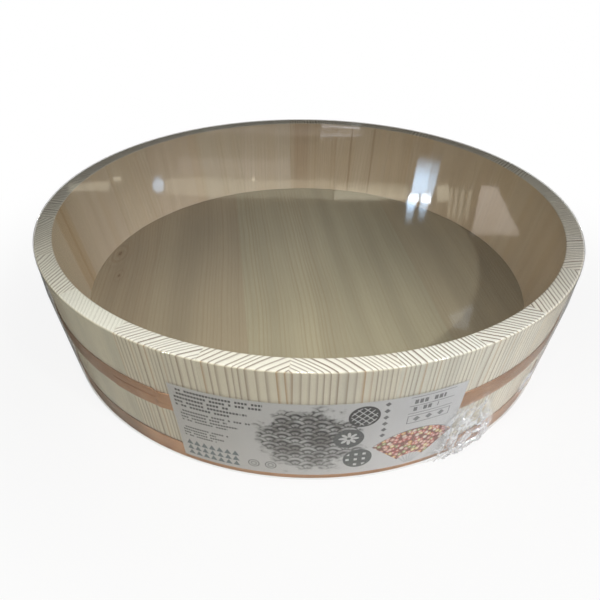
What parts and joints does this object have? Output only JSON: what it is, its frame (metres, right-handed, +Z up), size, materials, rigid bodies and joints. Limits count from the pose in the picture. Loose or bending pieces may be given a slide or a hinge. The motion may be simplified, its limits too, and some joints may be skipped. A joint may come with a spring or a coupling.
{
  "type": "sushi rice tub",
  "caption": "Shallow round wooden sushi rice tub of staves bound by copper hoops, with a plank floor, a paper label and clear shrink film.",
  "frame": {"origin": "centre of the foot ring, on the surface that the tub stands on", "axes": "+Z up along the tub's axis; -Y towards the front, where the paper label is; +X to the right of someone who faces the label"},
  "size_m": [0.4212, 0.4212, 0.1006],
  "materials": {
    "stave_wood": "planed, unfinished softwood",
    "board_wood": "planed, unfinished softwood",
    "bamboo": "whittled bamboo",
    "copper": "satin copper",
    "paper": "smooth printed paper",
    "film": "clear gloss film"
  },
  "bodies": {
    "tub": {"stave_01": "stave_wood", "stave_02": "stave_wood", "stave_03": "stave_wood", "stave_04": "stave_wood", "stave_05": "stave_wood", "stave_06": "stave_wood", "stave_07": "stave_wood", "stave_08": "stave_wood", "stave_09": "stave_wood", "stave_10": "stave_wood", "stave_11": "stave_wood", "stave_12": "stave_wood", "stave_13": "stave_wood", "stave_14": "stave_wood", "stave_15": "stave_wood", "stave_16": "stave_wood", "stave_17": "stave_wood", "stave_18": "stave_wood", "stave_19": "stave_wood", "stave_20": "stave_wood", "stave_21": "stave_wood", "stave_22": "stave_wood", "stave_23": "stave_wood", "floor_board_1": "board_wood", "floor_board_2": "board_wood", "floor_board_3": "board_wood", "floor_board_4": "board_wood", "floor_board_5": "board_wood", "stave_peg_01": "bamboo", "stave_peg_02": "bamboo", "stave_peg_03": "bamboo", "stave_peg_04": "bamboo", "stave_peg_05": "bamboo", "stave_peg_06": "bamboo", "stave_peg_07": "bamboo", "stave_peg_08": "bamboo", "stave_peg_09": "bamboo", "stave_peg_10": "bamboo", "stave_peg_11": "bamboo", "stave_peg_12": "bamboo", "stave_peg_13": "bamboo", "stave_peg_14": "bamboo", "stave_peg_15": "bamboo", "stave_peg_16": "bamboo", "stave_peg_17": "bamboo", "stave_peg_18": "bamboo", "stave_peg_19": "bamboo", "stave_peg_20": "bamboo", "stave_peg_21": "bamboo", "stave_peg_22": "bamboo", "stave_peg_23": "bamboo", "floor_peg_1": "bamboo", "floor_peg_2": "bamboo", "floor_peg_3": "bamboo", "floor_peg_4": "bamboo", "upper_hoop": "copper", "lower_hoop": "copper", "paper_label": "paper", "film_skirt": "film"},
    "mouth_film": {"film_cover": "film"}
  },
  "joints": [
    {"name": "film_lift", "type": "slide", "parent": "tub", "child": "mouth_film", "axis": [0, 0, 1], "range_m": [0, 0.15]}
  ]
}
